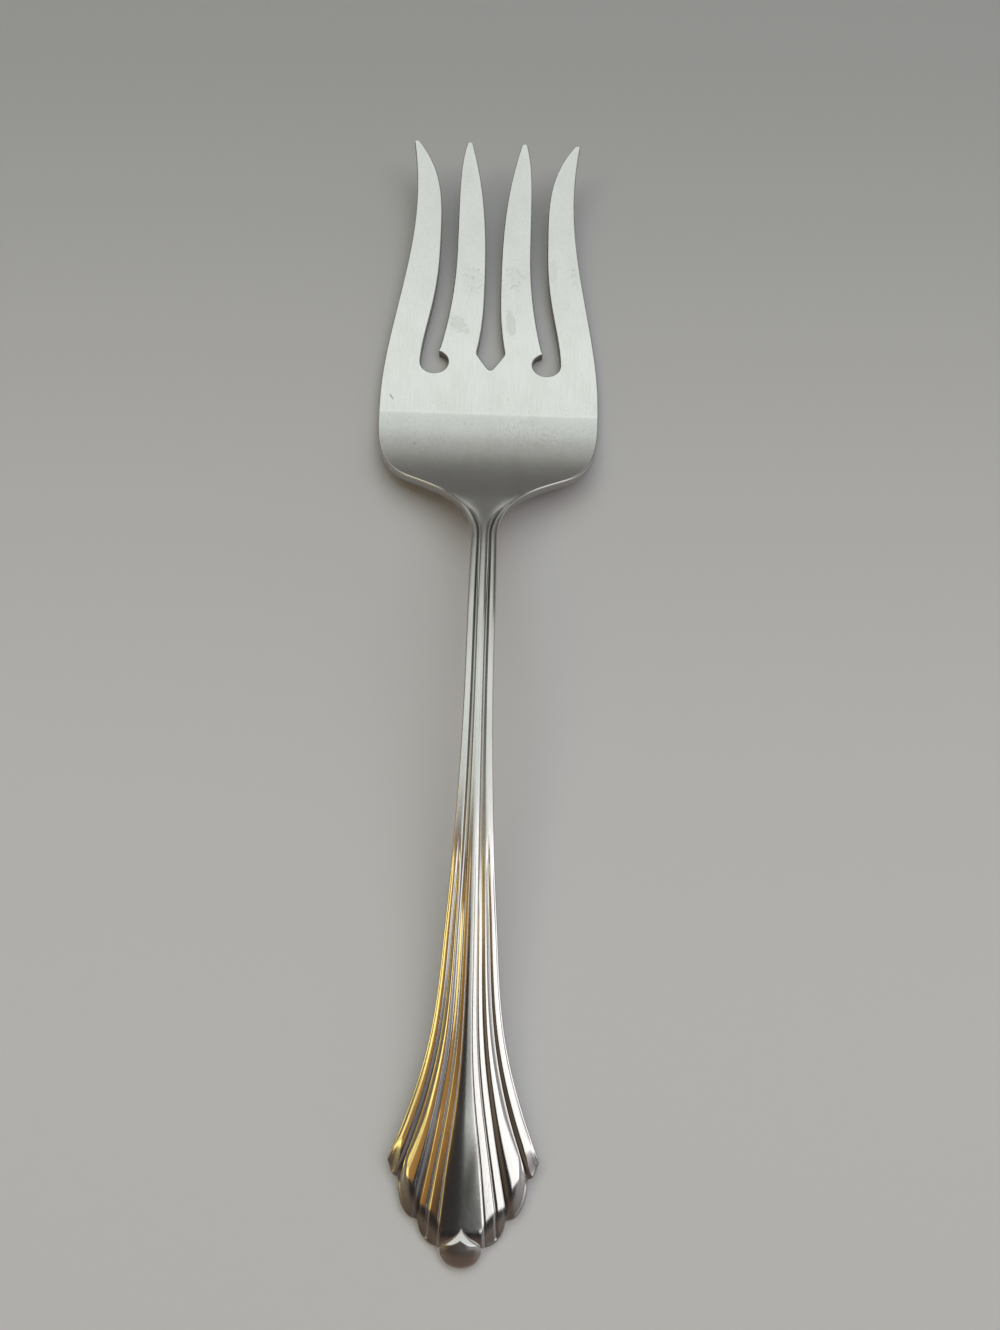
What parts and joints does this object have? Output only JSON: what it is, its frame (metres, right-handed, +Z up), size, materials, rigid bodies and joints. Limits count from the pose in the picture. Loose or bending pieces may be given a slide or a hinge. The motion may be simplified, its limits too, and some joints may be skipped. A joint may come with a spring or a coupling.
{
  "type": "cold meat serving fork",
  "caption": "Long serving fork with a broad flat head, curved tines with barbed slots, a slim grooved shank and a fluted fan handle ending in a small bud.",
  "frame": {"origin": "on the table, under the middle of the fork's length and on its centre line", "axes": "+Y along the fork from the handle to the tines, +Z up from the table, +X across to the fork's right seen from above with the tines away from the viewer"},
  "size_m": [0.0448, 0.219, 0.016],
  "materials": {
    "satin_steel": "satin",
    "polished_steel": "polished"
  },
  "bodies": {
    "root": {"tine_outer_left": "satin_steel", "tine_inner_left": "satin_steel", "tine_inner_right": "satin_steel", "tine_outer_right": "satin_steel", "head": "satin_steel", "neck": "satin_steel", "shank": "polished_steel", "fan": "polished_steel", "finial": "polished_steel"}
  },
  "joints": []
}
